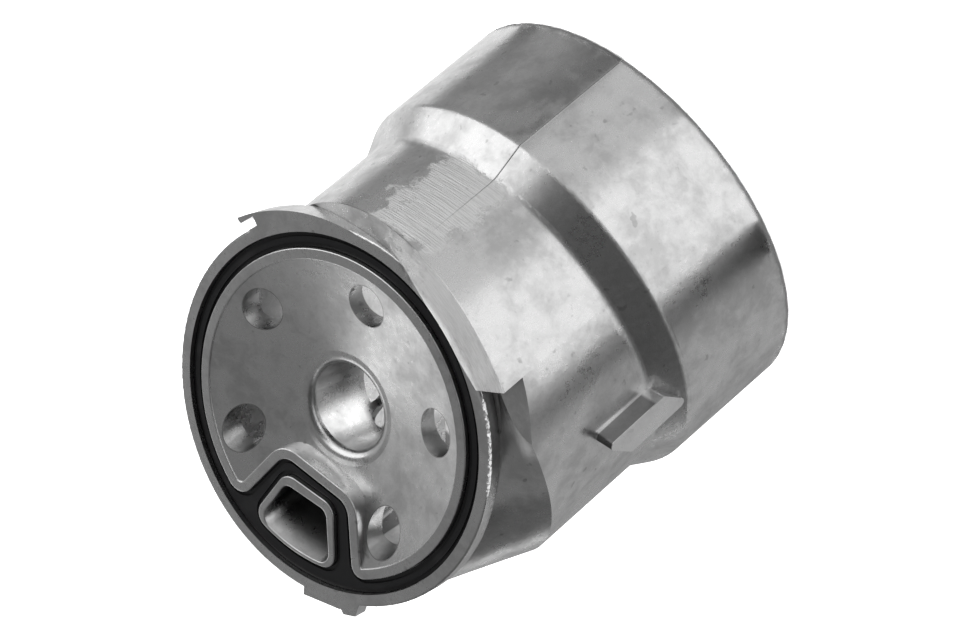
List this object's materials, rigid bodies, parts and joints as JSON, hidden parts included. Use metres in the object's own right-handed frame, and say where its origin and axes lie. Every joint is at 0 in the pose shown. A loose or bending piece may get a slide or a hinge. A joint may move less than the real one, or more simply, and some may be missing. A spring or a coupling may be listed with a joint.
{
  "type": "oil filter housing",
  "caption": "Die-cast oil filter housing: a round drum and neck with a tilted seal face, dished floor with centre bore and oil holes, drain port and moulded rubber face seal.",
  "frame": {"origin": "centre of the drum's open rim, on the drum axis, where the part stands", "axes": "+Z along the drum axis towards the seal face; the seal face leans 30 degrees towards -Y; +X across the lean"},
  "size_m": [0.1041, 0.1038, 0.1117],
  "materials": {
    "cast_body": "as-cast satin with mottled stains, sanded in patches",
    "seal_rubber": "satin moulded rubber"
  },
  "bodies": {
    "root": {"oil_filter_housing": "cast_body", "face_seal": "seal_rubber"}
  },
  "joints": []
}
